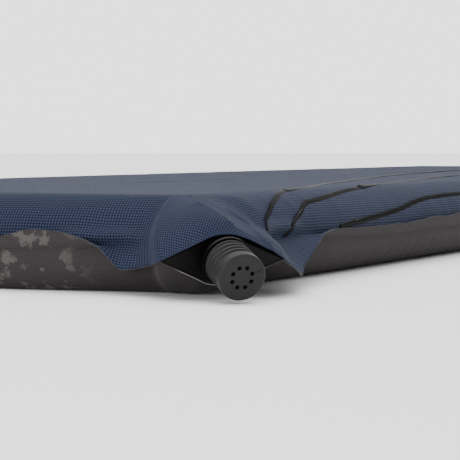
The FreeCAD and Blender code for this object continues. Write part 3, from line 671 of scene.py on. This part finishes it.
def bump(tree, height, strength, distance, over=None):
    """Bump from a height, laid over another bump if one is given."""
    made = node(tree, "ShaderNodeBump", in_Strength=strength, in_Distance=distance)
    tree.links.new(height, made.inputs["Height"])
    if over is not None:
        tree.links.new(over, made.inputs["Normal"])
    return made.outputs[0]


def cloth_coordinates(tree):
    """The flat cloth's coordinates, whole and as x and y."""
    uv = node(tree, "ShaderNodeUVMap", uv_map="cloth").outputs[0]
    parts = tree.nodes.new("ShaderNodeSeparateXYZ")
    tree.links.new(uv, parts.inputs[0])
    return uv, parts.outputs[0], parts.outputs[1]


def object_coordinates(tree):
    return tree.nodes.new("ShaderNodeTexCoord").outputs["Object"]


def dobby(tree, uv, x, y, pitch):
    """Small raised blocks in a grid on the cloth: 0 in the grooves, 1 on a block."""
    k = 2 * math.pi / (pitch * MM)
    wobble = math_node(tree, "MULTIPLY", noise(tree, uv, in_Scale=60.0, in_Detail=2.0), 1.4)
    waves = []
    for axis in (x, y):
        phase = math_node(tree, "ADD", math_node(tree, "MULTIPLY", axis, k), wobble)
        half = math_node(tree, "MULTIPLY", math_node(tree, "SINE", phase), 0.5)
        waves.append(math_node(tree, "ADD", half, 0.5))
    return math_node(tree, "POWER", math_node(tree, "MULTIPLY", *waves), 0.6)


def fine_weave(tree, x, y, pitch):
    """Threads on the bias of the cloth's grid."""
    k = 2 * math.pi / (pitch * MM)
    threads = []
    for op in ("ADD", "SUBTRACT"):
        phase = math_node(tree, "MULTIPLY", math_node(tree, op, x, y), k)
        threads.append(math_node(tree, "SINE", phase))
    return math_node(tree, "MULTIPLY", math_node(tree, "ADD", *threads), 0.5)


def top_fabric():
    mat, tree, bsdf = new_material("blue_dobby_cloth")
    uv, x, y = cloth_coordinates(tree)
    block = dobby(tree, uv, x, y, 2.1)
    weave = fine_weave(tree, x, y, 0.7)
    mottle = noise(tree, uv, in_Scale=14.0, in_Detail=4.0, in_Roughness=0.6)
    base = mix_rgb(tree, block, (0.0066, 0.0090, 0.0190, 1), (0.0360, 0.0455, 0.0830, 1))
    tint = mix_rgb(tree, mottle, (0.80, 0.82, 0.86, 1), (1.18, 1.16, 1.12, 1))
    tree.links.new(mix_rgb(tree, 1.0, base, tint, "MULTIPLY"), bsdf.inputs["Base Color"])
    rough = math_node(tree, "SUBTRACT", 0.74, math_node(tree, "MULTIPLY", block, 0.14))
    tree.links.new(rough, bsdf.inputs["Roughness"])
    normal = bump(tree, weave, 0.25, 0.00008, over=bump(tree, block, 0.55, 0.00022))
    tree.links.new(normal, bsdf.inputs["Normal"])
    bsdf.inputs["Specular IOR Level"].default_value = 0.04
    bsdf.inputs["Sheen Weight"].default_value = 0.045
    bsdf.inputs["Sheen Roughness"].default_value = 0.3
    bsdf.inputs["Sheen Tint"].default_value = (0.72, 0.82, 1.0, 1.0)
    return mat


def low_fabric():
    mat, tree, bsdf = new_material("grey_printed_cloth")
    uv, x, y = cloth_coordinates(tree)
    block = dobby(tree, uv, x, y, 1.6)
    weave = fine_weave(tree, x, y, 0.6)
    # generic blotches, which stop short of the valve
    blotch = ease(tree, noise(tree, uv, in_Scale=75.0, in_Detail=3.0, in_Roughness=0.55), 0.53, 0.61)
    away_from_valve = ease(tree, x, 0.175, 0.135)
    amount = math_node(tree, "MULTIPLY", math_node(tree, "MULTIPLY", blotch, away_from_valve), 0.5)
    plain = mix_rgb(tree, block, (0.026, 0.0223, 0.0232, 1), (0.045, 0.0397, 0.0406, 1))
    colour = mix_rgb(tree, amount, plain, (0.105, 0.098, 0.094, 1))
    tree.links.new(colour, bsdf.inputs["Base Color"])
    rough = math_node(tree, "SUBTRACT", 0.78, math_node(tree, "MULTIPLY", amount, 0.2))
    tree.links.new(rough, bsdf.inputs["Roughness"])
    normal = bump(tree, weave, 0.25, 0.00006, over=bump(tree, block, 0.4, 0.00015))
    tree.links.new(normal, bsdf.inputs["Normal"])
    bsdf.inputs["Specular IOR Level"].default_value = 0.05
    bsdf.inputs["Sheen Weight"].default_value = 0.03
    bsdf.inputs["Sheen Roughness"].default_value = 0.4
    return mat


def rubber_print():
    mat, tree, bsdf = new_material("gloss_black_print")
    place = object_coordinates(tree)
    grain = noise(tree, place, in_Scale=900.0, in_Detail=3.0)
    broad = noise(tree, place, in_Scale=35.0, in_Detail=2.0)
    rough = math_node(tree, "ADD", 0.34, math_node(tree, "MULTIPLY", broad, 0.2))
    tree.links.new(rough, bsdf.inputs["Roughness"])
    colour = mix_rgb(tree, broad, (0.002, 0.002, 0.0022, 1), (0.004, 0.004, 0.0045, 1))
    tree.links.new(colour, bsdf.inputs["Base Color"])
    tree.links.new(bump(tree, grain, 0.25, 0.0001), bsdf.inputs["Normal"])
    bsdf.inputs["Specular IOR Level"].default_value = 0.005
    bsdf.inputs["Coat Weight"].default_value = 0.05
    bsdf.inputs["Coat Roughness"].default_value = 0.1
    return mat


def moulded_plastic(name, dark, light, smoothest, roughest, shine=0.2):
    """Plastic or rubber between two colours and two roughnesses, with a fine moulded grain."""
    mat, tree, bsdf = new_material(name)
    place = object_coordinates(tree)
    grain = noise(tree, place, in_Scale=1800.0, in_Detail=3.0, in_Roughness=0.6)
    flow = noise(tree, place, in_Scale=90.0, in_Detail=4.0)
    tree.links.new(mix_rgb(tree, flow, (*dark, 1), (*light, 1)), bsdf.inputs["Base Color"])
    spread = math_node(tree, "MULTIPLY", flow, roughest - smoothest)
    tree.links.new(math_node(tree, "ADD", smoothest, spread), bsdf.inputs["Roughness"])
    tree.links.new(bump(tree, grain, 0.3, 0.00006), bsdf.inputs["Normal"])
    bsdf.inputs["Specular IOR Level"].default_value = shine
    return mat


def foam_material():
    mat, tree, bsdf = new_material("open_cell_foam")
    cells = node(tree, "ShaderNodeTexVoronoi", in_Scale=700.0)
    tree.links.new(object_coordinates(tree), cells.inputs["Vector"])
    pit_depth_and_shade = cells.outputs["Distance"]
    # painted shade: the colour is darker in the cell pits, where the bump is lowest
    colour = mix_rgb(tree, pit_depth_and_shade, (0.42, 0.40, 0.33, 1), (0.72, 0.70, 0.62, 1))
    tree.links.new(colour, bsdf.inputs["Base Color"])
    tree.links.new(bump(tree, pit_depth_and_shade, 0.6, 0.0004), bsdf.inputs["Normal"])
    bsdf.inputs["Roughness"].default_value = 0.95
    return mat


VALVE_ON_CLOTH = (0.29, -0.95, 0.0)  # where the valve lies on the flat cloth, in metres


def highlit_cut_edge(name, highlight_at_valve, elsewhere, reach):
    """Bare coated yarn along a cut edge in its own colour, with a painted highlight that makes it
    brighter within a reach of the valve.
    """
    mat, tree, bsdf = new_material(name)
    uv, _, _ = cloth_coordinates(tree)
    away = node(tree, "ShaderNodeVectorMath", operation="DISTANCE")
    tree.links.new(uv, away.inputs[0])
    away.inputs[1].default_value = VALVE_ON_CLOTH
    # painted highlight: the edge turns to a brighter tone near the valve
    highlight_mask = ease(tree, away.outputs["Value"], reach, reach * 0.8)
    tone_with_highlight = mix_rgb(tree, highlight_mask, (*elsewhere, 1), (*highlight_at_valve, 1))
    fray = noise(tree, uv, in_Scale=700.0, in_Detail=2.0)
    worn = mix_rgb(tree, fray, (0.7, 0.7, 0.7, 1), (1.0, 1.0, 1.0, 1))
    tree.links.new(mix_rgb(tree, 1.0, tone_with_highlight, worn, "MULTIPLY"), bsdf.inputs["Base Color"])
    bsdf.inputs["Roughness"].default_value = 0.6
    bsdf.inputs["Specular IOR Level"].default_value = 0.1
    return mat


def wear(ob, *materials):
    ob.data.materials.clear()
    for mat in materials:
        ob.data.materials.append(mat)


# For each cut edge the first colour is a painted highlight near the valve, the second the edge's own
# colour elsewhere.
blue_edge = highlit_cut_edge("blue_cut_edge", (0.030, 0.038, 0.062), (0.024, 0.030, 0.050), 0.06)
grey_edge = highlit_cut_edge("grey_cut_edge", (0.20, 0.19, 0.18), (0.05, 0.047, 0.046), 0.052)
wear(top_cover, top_fabric(), blue_edge)
wear(low_cover, low_fabric(), grey_edge)
wear(foam_core, foam_material())
print_mat = rubber_print()
for ob in lines:
    wear(ob, print_mat)

body_mat = moulded_plastic(
    "black_moulding", (0.001, 0.001, 0.001), (0.003, 0.0028, 0.0026), 0.3, 0.44, shine=0.1
)
cap_mat = moulded_plastic(
    "cap_moulding", (0.011, 0.0112, 0.0114), (0.0185, 0.0185, 0.0187), 0.34, 0.48, shine=0.14
)
seal_mat = moulded_plastic("seal_rubber", (0.012, 0.012, 0.012), (0.02, 0.02, 0.02), 0.6, 0.75)
screen_mat = moulded_plastic("screen_moulding", (0.06, 0.06, 0.06), (0.1, 0.1, 0.1), 0.5, 0.7)
NODE_MATERIALS = {
    "valve_boat": body_mat,
    "valve_stem": body_mat,
    "stem_plug": body_mat,
    "stop_clip": body_mat,
    "slide_washer": body_mat,
    "valve_cap": cap_mat,
    "plug_seal": seal_mat,
    "cap_gasket": seal_mat,
    "filter_screen": screen_mat,
}
for name, mat in NODE_MATERIALS.items():
    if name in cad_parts:
        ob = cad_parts[name]
        if not ob.material_slots:
            ob.data.materials.append(mat)
        for s in ob.material_slots:
            s.material = mat

# ------------------------------------------------------------------ riding on the frame
for ob, slot_name in ((top_cover, "top_fabric"), (low_cover, "bottom_fabric"), (foam_core, "foam")):
    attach(ob, "mattress")
for ob in lines:
    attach(ob, "mattress")
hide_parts("top_sheet")
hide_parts("bottom_sheet")
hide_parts("foam_core")


# ------------------------------------------------------------------ studio
def floor():
    bpy.ops.mesh.primitive_plane_add(size=40.0, location=(0, 0, -0.0004))
    ob = bpy.context.object
    ob.name = "studio_floor"
    mat, _, bsdf = new_material("pale_floor")
    bsdf.inputs["Base Color"].default_value = (0.97, 0.97, 0.97, 1)
    bsdf.inputs["Roughness"].default_value = 0.9
    bsdf.inputs["Specular IOR Level"].default_value = 0.1
    wear(ob, mat)


def place_looking(name, data, at, direction):
    """Puts a light or camera in the scene, looking along a direction."""
    ob = bpy.data.objects.new(name, data)
    ob.location = at
    ob.rotation_mode = "QUATERNION"
    ob.rotation_quaternion = direction.to_track_quat("-Z", "Y")
    bpy.context.scene.collection.objects.link(ob)
    return ob


def area(name, at, aim, size, power):
    data = bpy.data.lights.new(name, "AREA")
    data.shape = "RECTANGLE"
    data.size, data.size_y = size
    data.energy = power
    place_looking(name, data, at, Vector(aim) - Vector(at))


def lobe(tree, direction, low, high, strength):
    """Soft patch of light about one direction."""
    coord = tree.nodes.new("ShaderNodeTexCoord")
    dot = node(tree, "ShaderNodeVectorMath", operation="DOT_PRODUCT")
    dot.inputs[1].default_value = direction
    tree.links.new(coord.outputs["Generated"], dot.inputs[0])
    return ease(tree, dot.outputs["Value"], low, high, 0.0, strength)


def studio_world():
    """Soft room light: a bright ceiling, and a bright backdrop beyond the far end of the bed."""
    world = bpy.data.worlds.new("studio")
    bpy.context.scene.world = world
    world.use_nodes = True
    tree = world.node_tree
    back = tree.nodes["Background"]
    ceiling = lobe(tree, (0.0, 0.0, 1.0), 0.45, 0.95, 2.25)
    backdrop = lobe(tree, (-0.417, 0.909, 0.0), 0.9, 0.985, 1.55)
    total = math_node(tree, "ADD", math_node(tree, "ADD", ceiling, backdrop), 0.85)
    tree.links.new(total, back.inputs["Strength"])
    back.inputs["Color"].default_value = (1, 1, 1, 1)


floor()
studio_world()
area("key", (0.75, 2.0, 1.15), (0.25, -0.7, 0.03), (0.13, 0.08), 7.0)
area("front", (0.25, -2.8, 0.35), (0.2, -0.9, 0.03), (0.7, 0.5), 22.0)


# ------------------------------------------------------------------ camera
def camera():
    """Low view along the bed from outside the valve corner."""
    azimuth = math.radians(24.66)
    pitch = math.radians(2.507)
    ahead = np.array([-math.sin(azimuth), math.cos(azimuth)])
    right = np.array([math.cos(azimuth), math.sin(azimuth)])
    eye = np.array([229.4, -889.4]) - 1255.9 * ahead + 24.8 * right
    data = bpy.data.cameras.new("camera")
    data.sensor_width = 36.0
    data.lens = 36.0 * 1930.0 / 460.0
    data.clip_start, data.clip_end = 0.05, 100.0
    look = Vector((ahead[0] * math.cos(pitch), ahead[1] * math.cos(pitch), -math.sin(pitch)))
    at = (eye[0] * MM, eye[1] * MM, 96.32 * MM)
    bpy.context.scene.camera = place_looking("camera", data, at, look)


camera()
